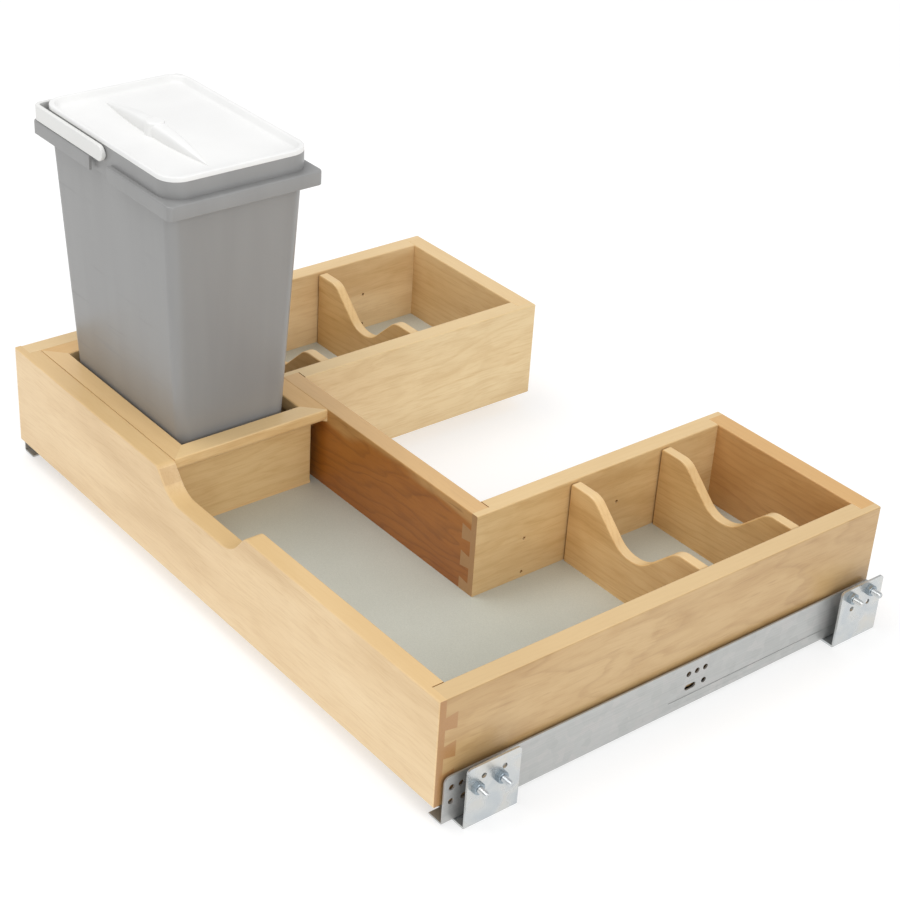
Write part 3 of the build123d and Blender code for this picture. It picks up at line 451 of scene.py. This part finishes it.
def zinc_plate(name, rough, tones=("#C0C5C8", "#C9CCCC", "#D0CEC8")):
    """A cool tone that clouds through a middle one to a warmer one over 22 mm, with faint brushed lines."""
    finish, tree = new_finish(name)
    place = add(tree, "ShaderNodeTexCoord")
    cloud = add(tree, "ShaderNodeTexNoise", {"Vector": place.outputs["Object"], "Scale": 1 / (22 * MM),
                                             "Detail": 1.0, "Distortion": 0.6})
    tone = add(tree, "ShaderNodeValToRGB", {"Fac": cloud.outputs["Fac"]},
               stops=list(zip((0.3, 0.5, 0.72), tones)))
    brushed = add(tree, "ShaderNodeMapping", {"Vector": place.outputs["Object"], "Scale": (900, 60, 900)})
    lines = add(tree, "ShaderNodeTexNoise", {"Vector": brushed.outputs["Vector"], "Scale": 1.0,
                                             "Detail": 3.0})
    gloss = add(tree, "ShaderNodeMapRange", {"Value": cloud.outputs["Fac"], "To Min": rough - 0.03,
                                             "To Max": rough + 0.05})
    plate = add(tree, "ShaderNodeBsdfPrincipled", {
        "Base Color": tone.outputs["Color"], "Metallic": 0.75, "Roughness": gloss.outputs["Result"]})
    close_finish(tree, plate, lines.outputs["Fac"], 0.1, 0.02 * MM)
    return finish


rail_steel = galvanised("galvanised_sheet_rolled_along_the_rail", (900, 9, 900), 9 * MM)
bracket_zinc = zinc_plate("zinc_plated_pressed_sheet", 0.26)
fastener_zinc = zinc_plate("zinc_plated_turned_steel", 0.20)
nut_zinc = zinc_plate("zinc_plated_nut", 0.24, ("#8F9BA4", "#98A4AC", "#A3ABAF"))
for side in ("left", "right"):
    for part in ("cabinet_rail", "middle_rail", "drawer_rail"):
        finish_node(f"{side}_{part}", rail_steel)
    for part in ("front_bracket", "rear_bracket"):
        finish_node(f"{side}_{part}", bracket_zinc)
    finish_node(f"{side}_bracket_rivets", fastener_zinc)
    finish_node(f"{side}_bracket_nuts", nut_zinc)
print("steel finished")

# %% [markdown]
# The bin is grey polypropylene and its lid, bail and pivots are white: moulded, then handled.
# Moulded polypropylene has a spark-eroded texture, about 0.5 mm here so that it shows, faint flow marks
# down the wall, and scuffs that are only a change of gloss. The small slide parts are nylon and rubber,
# and share the same recipe with other tones and textures.

# %% Moulded plastics
def moulded(name, tones, rough, grain, relief, scuffs=0.5, flow=(4, 4, 1.2)):
    """Tone by slow flow marks, gloss by thin scuffs, relief by a fine even grain."""
    finish, tree = new_finish(name)
    place = add(tree, "ShaderNodeTexCoord")
    run = add(tree, "ShaderNodeMapping", {"Vector": place.outputs["Object"], "Scale": flow})
    marks = add(tree, "ShaderNodeTexNoise", {"Vector": run.outputs["Vector"], "Scale": 3.0, "Detail": 3.0,
                                             "Distortion": 0.4})
    tone = add(tree, "ShaderNodeValToRGB", {"Fac": marks.outputs["Fac"]},
               stops=[(0.3, tones[0]), (0.7, tones[1])])
    fine = add(tree, "ShaderNodeTexNoise", {"Vector": place.outputs["Object"], "Scale": 1 / grain,
                                            "Detail": 2.0, "Roughness": 0.6})
    scratch_map = add(tree, "ShaderNodeMapping", {
        "Vector": place.outputs["Object"], "Rotation": (0.5, 0.3, 0.9), "Scale": (14, 420, 160)})
    scratch = add(tree, "ShaderNodeTexNoise", {"Vector": scratch_map.outputs["Vector"], "Scale": 1.0,
                                               "Detail": 2.0})
    scuffed = add(tree, "ShaderNodeMapRange", {
        "Value": scratch.outputs["Fac"], "From Min": 0.62, "From Max": 0.72, "To Min": 0.0,
        "To Max": 0.12 * scuffs})
    base_gloss = add(tree, "ShaderNodeMapRange", {"Value": marks.outputs["Fac"], "To Min": rough - 0.05,
                                                  "To Max": rough + 0.05})
    gloss = add(tree, "ShaderNodeMath", {0: base_gloss.outputs["Result"], 1: scuffed.outputs["Result"]},
                operation="ADD")
    plastic = add(tree, "ShaderNodeBsdfPrincipled", {
        "Base Color": tone.outputs["Color"], "Roughness": gloss.outputs["Value"], "IOR": 1.49})
    close_finish(tree, plastic, fine.outputs["Fac"], relief, 0.08 * MM)
    return finish


grey_bin = moulded("grey_polypropylene_moulded", ("#8D8D8C", "#949493"), 0.33, 0.5 * MM, 0.35,
                   scuffs=1.0, flow=(9, 9, 0.9))
white_lid = moulded("white_polypropylene_moulded", ("#E9E9E7", "#EFEFED"), 0.34, 0.6 * MM, 0.2)
bail_white = moulded("white_polypropylene_bail", ("#DFDFDC", "#E6E6E3"), 0.38, 0.6 * MM, 0.25)
cage_nylon = moulded("natural_nylon_cage", ("#E2DCCB", "#EAE5D6"), 0.42, 0.5 * MM, 0.3)
lock_nylon = moulded("dark_grey_nylon", ("#54585B", "#5E6265"), 0.45, 0.6 * MM, 0.5)
lever_nylon = moulded("orange_nylon", ("#D06A20", "#DB7428"), 0.40, 0.6 * MM, 0.4)
stop_rubber = moulded("black_moulded_rubber", ("#1B1B1C", "#232324"), 0.75, 0.9 * MM, 0.7)
roller_steel = zinc_plate("ground_bright_steel", 0.16)
for side in ("left", "right"):
    for row in ("lower", "upper"):
        finish_node(f"{side}_{row}_roller_cage", cage_nylon)
        finish_node(f"{side}_{row}_rollers", roller_steel)
    finish_node(f"{side}_lock_body", lock_nylon)
    finish_node(f"{side}_release_lever", lever_nylon)
    finish_node(f"{side}_stop_bumper", stop_rubber)
finish_node("divider_pins", roller_steel)
finish_node("lock_screws", fastener_zinc)
finish_node("bail_pivots", white_lid)
print("plastics finished")

# %% [markdown]
# The bin, lid and bail are remade here as smooth moulded shells. They could be lofted from curves or
# subdivided from a cage, but a moulding like this is one profile carried round a rounded rectangle,
# so it is written as just that: rows of half width, half depth, corner radius and height.
# Each corner of the profile is eased first, as every edge of a moulding is.

# %% Rings, eased profiles and closed shells
CORNER_STEPS = 14


def rounded_ring(half_x, half_y, radius, steps=CORNER_STEPS):
    """A rounded rectangle, anticlockwise: each corner is a quarter circle whose centre is set in from both
    sides by the radius, and the straight sides are the gaps between the quarters."""
    angle = np.linspace(0, np.pi / 2, steps) + np.arange(4)[:, None] * np.pi / 2
    angle = angle.ravel()
    sign_x = np.repeat([1, -1, -1, 1], steps)
    sign_y = np.repeat([1, 1, -1, -1], steps)
    x = sign_x * (half_x - radius) + radius * np.cos(angle)
    y = sign_y * (half_y - radius) + radius * np.sin(angle)
    return x, y


def eased(rows, reaches, steps=6):
    """Replaces each inner row by a short curve: start a reach before it, end a reach after it, and blend
    the start, the row and the end with the weights (1-t)^2, 2t(1-t) and t^2."""
    rows = np.array(rows, float)
    t = np.linspace(0, 1, steps)[:, None]
    out = [rows[:1]]
    for before, row, after, reach in zip(rows, rows[1:], rows[2:], reaches):
        back, ahead = before - row, after - row
        start = row + back * min(0.45, reach / np.hypot(back[0], back[-1]))
        end = row + ahead * min(0.45, reach / np.hypot(ahead[0], ahead[-1]))
        out.append((1 - t) ** 2 * start + 2 * t * (1 - t) * row + t ** 2 * end)
    out.append(rows[-1:])
    return np.vstack(out)


def inset(ring, by):
    """The same ring further in: its half width, half depth and corner radius all shrink by one amount."""
    return tuple(size - by for size in ring)


def tube_faces(rows, columns):
    """Quads between neighbouring rows of a grid whose last column joins its first, then a cap over the
    first row and one over the last."""
    i = np.arange(rows - 1)[:, None]
    j = np.arange(columns)[None, :]
    k = (j + 1) % columns
    quads = np.stack([i * columns + j, i * columns + k, (i + 1) * columns + k, (i + 1) * columns + j], -1)
    first_cap = list(range(columns - 1, -1, -1))
    last_cap = list(range((rows - 1) * columns, rows * columns))
    return [*quads.reshape(-1, 4).tolist(), first_cap, last_cap]


def piece(name, points, faces, finish, body, sharp=38):
    """Makes one mesh at the origin from points in metres, smooth except over sharp edges."""
    mesh = bpy.data.meshes.new(name)
    mesh.from_pydata(points.reshape(-1, 3).tolist(), [], faces)
    mesh.validate()
    mesh.polygons.foreach_set("use_smooth", np.ones(len(mesh.polygons), bool))
    mesh.set_sharp_from_angle(angle=math.radians(sharp))
    mesh.materials.append(finish)
    made = bpy.data.objects.new(name, mesh)
    scene.collection.objects.link(made)
    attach(made, body)
    size = np.ptp(points.reshape(-1, 3), axis=0) / MM
    print(f"{name}: {len(mesh.polygons)} faces, {size.round(1).tolist()} mm")
    return made


def shell(name, rows, centre, finish, body):
    """A closed shell: every row is a ring about the centre, and the first and last rows are capped."""
    rows = np.array(rows, float)
    x, y = rounded_ring(rows[:, 0:1], rows[:, 1:2], rows[:, 2:3])
    z = np.repeat(rows[:, 3:4], x.shape[1], axis=1)
    points = np.stack([x + centre[0], y + centre[1], z], -1) * MM
    return piece(name, points, tube_faces(*x.shape), finish, body)


bin_low, bin_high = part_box("bin_body")
BIN_CENTRE = ((bin_low.x + bin_high.x) / 2 / MM, (bin_low.y + bin_high.y) / 2 / MM)
print("bin centre:", [round(c, 2) for c in BIN_CENTRE])

# %% [markdown]
# The bin's body is one shell: a foot with a shallow recess, walls that spread to the mouth, a collar,
# and the same again inside. Each row below is a ring and its height, from the middle of the foot's
# under side, up the outside, and down the inside to the middle of the floor.

# %% The bin
FOOT = bin_low.z / MM
COLLAR_TOP = bin_high.z / MM
RIM_TOP = COLLAR_TOP - 15.5
RIM_UNDER = RIM_TOP - 13.5
WALL, FOOT_RECESS, FLOOR_THICK = 2.2, 1.4, 2.6
MOUTH_Z = RIM_TOP - 1.2
foot_ring, mouth_ring, collar_ring = (94.0, 54.0, 12.0), (105.5, 71.0, 12.0), (110.0, 73.75, 20.0)
body_rows = [
    (70.0, 30.0, 8.0, FOOT + FOOT_RECESS),
    (84.0, 44.0, 8.0, FOOT + FOOT_RECESS),
    (85.5, 45.5, 9.0, FOOT),
    (*foot_ring, FOOT),
    (*mouth_ring, MOUTH_Z),
    (*collar_ring, MOUTH_Z),
    (*collar_ring, COLLAR_TOP),
    (*inset(collar_ring, WALL), COLLAR_TOP),
    (*inset(collar_ring, WALL), RIM_TOP),
    (*inset(mouth_ring, WALL), RIM_TOP),
    (*inset(foot_ring, WALL), FOOT + FLOOR_THICK),
    (60.0, 20.0, 6.0, FOOT + FLOOR_THICK),
]
body_eases = [0.8, 0.8, 3.0, 0.3, 0.3, 0.5, 0.5, 0.8, 1.2, 3.0]
bin_shell = shell("bin_moulded_body", eased(body_rows, body_eases), BIN_CENTRE, grey_bin, "bin")
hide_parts("bin_body")

# %% [markdown]
# The skirt round the mouth is a bent flange, open below, which stops at a boss in the middle of each
# long side, where the bail turns. Each half is a profile carried round half of the ring; closing the
# whole in one surface would tangle at the bosses.

# %% Skirt and bosses
BOSS_HALF, BOSS_DEEP = 15.0, 5.0
SKIRT_WALL = 2.4
skirt_root, skirt_edge = (104.0, 69.5, 12.0), (119.0, 79.0, 5.0)
skirt_rows = [
    (*skirt_root, RIM_TOP - 1.0),
    (*skirt_root, RIM_TOP),
    (*skirt_edge, RIM_TOP),
    (*skirt_edge, RIM_UNDER),
    (*inset(skirt_edge, SKIRT_WALL), RIM_UNDER),
    (*inset(skirt_edge, SKIRT_WALL), RIM_TOP - SKIRT_WALL),
    (*skirt_root, RIM_TOP - SKIRT_WALL),
    (*skirt_root, RIM_TOP - 1.0),
]


def skirt_half(name, side):
    """The flange's closed profile, carried from one boss round two corners to the other boss."""
    rows = eased(skirt_rows, [0.2, 2.0, 0.7, 0.5, 1.0, 0.2])[:-1]
    x, y = rounded_ring(rows[:, 0:1], rows[:, 1:2], rows[:, 2:3])
    quarters = (3, 0) if side > 0 else (1, 2)
    pick = np.concatenate([np.arange(q * CORNER_STEPS, (q + 1) * CORNER_STEPS) for q in quarters])
    start = np.full((len(rows), 1), side * BOSS_HALF)
    x = np.hstack([start, x[:, pick], start])
    y = np.hstack([-side * rows[:, 1:2], y[:, pick], side * rows[:, 1:2]])
    z = np.repeat(rows[:, 3:4], x.shape[1], axis=1)
    points = np.stack([x + BIN_CENTRE[0], y + BIN_CENTRE[1], z], -1) * MM
    # The profile closes on itself, so the grid is turned over and its columns run round the profile.
    count, ring = x.shape
    return piece(name, points.transpose(1, 0, 2), tube_faces(ring, count), grey_bin, "bin")


skirt_half("bin_skirt_right", 1)
skirt_half("bin_skirt_left", -1)
for name, side in (("bin_boss_front", -1), ("bin_boss_back", 1)):
    boss_rows = [(BOSS_HALF - 0.8, BOSS_DEEP - 1.0, 0.5, RIM_UNDER), (BOSS_HALF, BOSS_DEEP, 0.8, RIM_UNDER),
                 (BOSS_HALF, BOSS_DEEP, 0.8, RIM_TOP - 0.5),
                 (BOSS_HALF - 1.0, BOSS_DEEP - 1.0, 0.5, RIM_TOP - 0.5)]
    boss_centre = (BIN_CENTRE[0], BIN_CENTRE[1] + side * (collar_ring[1] - 0.1 - BOSS_DEEP))
    shell(name, eased(boss_rows, [0.4, 0.4]), boss_centre, grey_bin, "bin")

# %% [markdown]
# The lid is another shell of the same kind: a plug inside the collar, an edge that rests on it, a raised
# bead round the top and a panel sunk inside the bead. Its finger grip is a lens-shaped blade with an
# arched crest and a round hub at the middle, made as a surface of its own on the panel.

# %% The lid
LID_TOP = COLLAR_TOP + 4.5
PANEL_TOP = LID_TOP - 6.0
PANEL_UNDER = COLLAR_TOP - 3.8
PLUG_UNDER = COLLAR_TOP - 8.0
PLUG_GAP, PLUG_WALL, BEAD_CREST, BEAD_FOOT = 2.6, 2.0, 4.5, 8.5
plug_ring = inset(collar_ring, PLUG_GAP)
lid_rows = [
    (80.0, 44.0, 6.0, PANEL_UNDER),
    (*inset(plug_ring, PLUG_WALL), PANEL_UNDER),
    (*inset(plug_ring, PLUG_WALL), PLUG_UNDER),
    (*plug_ring, PLUG_UNDER),
    (*plug_ring, COLLAR_TOP),
    (*collar_ring, COLLAR_TOP),
    (*collar_ring, LID_TOP),
    (*inset(collar_ring, BEAD_CREST), LID_TOP),
    (collar_ring[0] - BEAD_FOOT, collar_ring[1] - BEAD_FOOT, 12.0, PANEL_TOP),
    (82.0, 46.0, 8.0, PANEL_TOP),
]
lid_shell = shell("lid_moulded_shell", eased(lid_rows, [1.0, 0.4, 0.8, 0.3, 0.3, 1.5, 1.3, 2.4]),
                  BIN_CENTRE, white_lid, "lid")
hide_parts("bin_lid")

GRIP_LENGTH, GRIP_WIDTH, GRIP_HEIGHT = 175.0, 15.0, 11.3
GRIP_ROWS, GRIP_COLUMNS = 61, 40
GRIP_POWER, GRIP_SINK, GRIP_END = 0.5, 0.12, 0.012
GRIP_CENTRE = (BIN_CENTRE[0], BIN_CENTRE[1] - 20.0)
u = np.linspace(-1, 1, GRIP_ROWS)[:, None]
v = np.linspace(0, 2 * np.pi, GRIP_COLUMNS, endpoint=False)[None, :]
# Width and height fall from the middle to the ends as 1 - u^2; the section is a superellipse, whose
# cosine and sine are raised to a power below 1, so its sides stand steep and its crest is round.
# The under side sinks a little into the panel.
fall = np.maximum(1 - u ** 2, GRIP_END)
section_y = np.sign(np.cos(v)) * np.abs(np.cos(v)) ** GRIP_POWER
section_z = np.where(np.sin(v) > 0, np.abs(np.sin(v)) ** GRIP_POWER, -GRIP_SINK * np.abs(np.sin(v)))
grip = np.stack([np.broadcast_to(u * GRIP_LENGTH / 2, (GRIP_ROWS, GRIP_COLUMNS)) + GRIP_CENTRE[0],
                 fall * section_y * GRIP_WIDTH / 2 + GRIP_CENTRE[1],
                 fall * section_z * GRIP_HEIGHT + PANEL_TOP], -1) * MM
piece("lid_grip_blade", grip, tube_faces(GRIP_ROWS, GRIP_COLUMNS), white_lid, "lid")
# A corner radius just under the half width makes each ring of the hub round.
HUB_TOP = LID_TOP + 6.2
hub_rows = [(6.0, 6.0, 5.99, PANEL_TOP - 0.6), (10.0, 10.0, 9.99, PANEL_TOP - 0.6),
            (8.6, 8.6, 8.59, HUB_TOP), (4.0, 4.0, 3.99, HUB_TOP)]
shell("lid_grip_hub", eased(hub_rows, [0.3, 1.8]), GRIP_CENTRE, white_lid, "lid")

# %% [markdown]
# The bail is a flat band bent to a U that lies round the collar. It is a rounded rectangle carried along
# a path of two arms, two bends and a cross bar. At each end of the path the band's height shrinks as the
# cosine of an angle while the path goes on as its sine, which rounds the ends about the pivots.

# %% The bail
BAIL_THICK, BAIL_HALF_HEIGHT, BAIL_BEND, BAIL_EASE = 4.5, 7.5, 6.75, 1.3
ARM_STEPS, BEND_STEPS, BAND_CORNER_STEPS = 12, 10, 6
END_GAP = 0.04  # radians short of the very tip, so that the end ring keeps a little height
bail_low, bail_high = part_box("bin_bail")
arm_y = (bail_high.y - bail_low.y) / 2 / MM - BAIL_THICK / 2
far_x = bail_low.x / MM + BAIL_THICK / 2
pivot_x = bail_high.x / MM - BAIL_HALF_HEIGHT
bail_z = (bail_low.z + bail_high.z) / 2 / MM
phi = np.linspace(np.pi / 2 - END_GAP, 0, ARM_STEPS)
arm_x = np.linspace(pivot_x, far_x + BAIL_BEND, ARM_STEPS)[1:]
bend = np.linspace(0, np.pi / 2, BEND_STEPS)[1:]
one_side_x = np.concatenate([pivot_x + BAIL_HALF_HEIGHT * np.sin(phi), arm_x,
                             far_x + BAIL_BEND - BAIL_BEND * np.sin(bend)])
one_side_y = np.concatenate([np.full(len(phi) + len(arm_x), arm_y),
                             arm_y - BAIL_BEND + BAIL_BEND * np.cos(bend)])
half_height = np.concatenate([BAIL_HALF_HEIGHT * np.cos(phi),
                              np.full(len(arm_x) + len(bend), BAIL_HALF_HEIGHT)])
path = np.vstack([np.column_stack([one_side_x, one_side_y]),
                  np.column_stack([one_side_x, -one_side_y])[::-1]])
half_height = np.concatenate([half_height, half_height[::-1]])
heading = np.gradient(path, axis=0)
heading /= np.linalg.norm(heading, axis=1, keepdims=True)
outward = np.column_stack([heading[:, 1], -heading[:, 0]])
across_band, up_band = rounded_ring(np.full((len(path), 1), BAIL_THICK / 2), half_height[:, None],
                                    np.minimum(BAIL_EASE, half_height[:, None] * 0.98),
                                    BAND_CORNER_STEPS)
bail_points = np.stack([path[:, 0:1] + outward[:, 0:1] * across_band,
                        path[:, 1:2] + outward[:, 1:2] * across_band + BIN_CENTRE[1],
                        np.full_like(up_band, bail_z) + up_band], -1) * MM
bail = piece("bail_moulded_band", bail_points, tube_faces(*across_band.shape), bail_white, "bail")
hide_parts("bin_bail")

# %% [markdown]
# The studs that hold the brackets are M6 screws, so they get a real thread instead of a smooth rod.
# A thread could be a texture, but it would not show in the outline; here the radius of the rod dips
# once a turn, and the dip moves one pitch along for each turn round.

# %% Threaded studs
PITCH, THREAD_DEPTH, STUD_RADIUS = 1.0, 0.55, 3.0
THREAD_STEPS, ROUND_STEPS = 10, 20
SHANK, RUN_OUT, CHAMFER = 1.0, 1.5, 0.9
STUD_GAP = 3.0


def threaded_rod(root, tip, centre_y, centre_z):
    """Radius = full radius less a triangle wave of (distance along / pitch - angle / full turn), eased to
    a chamfer at the tip and to a smooth shank at the root. root and tip are millimetres along X."""
    sign = 1 if tip > root else -1
    length = abs(tip - root)
    s = np.linspace(0, length, int(length * THREAD_STEPS / PITCH) + 1)[:, None]
    angle = np.linspace(0, 2 * np.pi, ROUND_STEPS, endpoint=False)[None, :]
    phase = (s / PITCH - angle / (2 * np.pi)) % 1
    wave = 2 * np.abs(phase - 0.5)
    fade = np.clip((s - SHANK) / RUN_OUT, 0, 1)
    radius = STUD_RADIUS - THREAD_DEPTH * wave * fade
    radius = np.minimum(radius, STUD_RADIUS - CHAMFER + (length - s))
    x = np.broadcast_to(root + sign * s, radius.shape)
    points = np.stack([x, centre_y + radius * np.cos(angle), centre_z + sign * radius * np.sin(angle)], -1)
    return points * MM, tube_faces(*radius.shape)


def stud_axes(node):
    """The middle of each separate rod of a CAD node, found from where its vertices bunch along Y."""
    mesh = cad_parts[node].data
    co = np.zeros(len(mesh.vertices) * 3)
    mesh.vertices.foreach_get("co", co)
    co = co.reshape(-1, 3) / MM
    order = np.argsort(co[:, 1])
    groups = np.split(co[order], np.where(np.diff(co[order, 1]) > STUD_GAP)[0] + 1)
    return [(g.min(0) + g.max(0)) / 2 for g in groups]


for side, sign in (("left", -1), ("right", 1)):
    low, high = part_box(f"{side}_bracket_studs")
    root, tip = (high.x / MM, low.x / MM) if sign < 0 else (low.x / MM, high.x / MM)
    all_points, all_faces = [], []
    for axis in stud_axes(f"{side}_bracket_studs"):
        points, faces = threaded_rod(root, tip, axis[1], axis[2])
        shift = sum(len(p) for p in all_points)
        all_faces += [[i + shift for i in face] for face in faces]
        all_points.append(points.reshape(-1, 3))
    studs = piece(f"{side}_threaded_studs", np.vstack(all_points), all_faces, fastener_zinc, "rails",
                  sharp=60)
    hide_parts(f"{side}_bracket_studs")
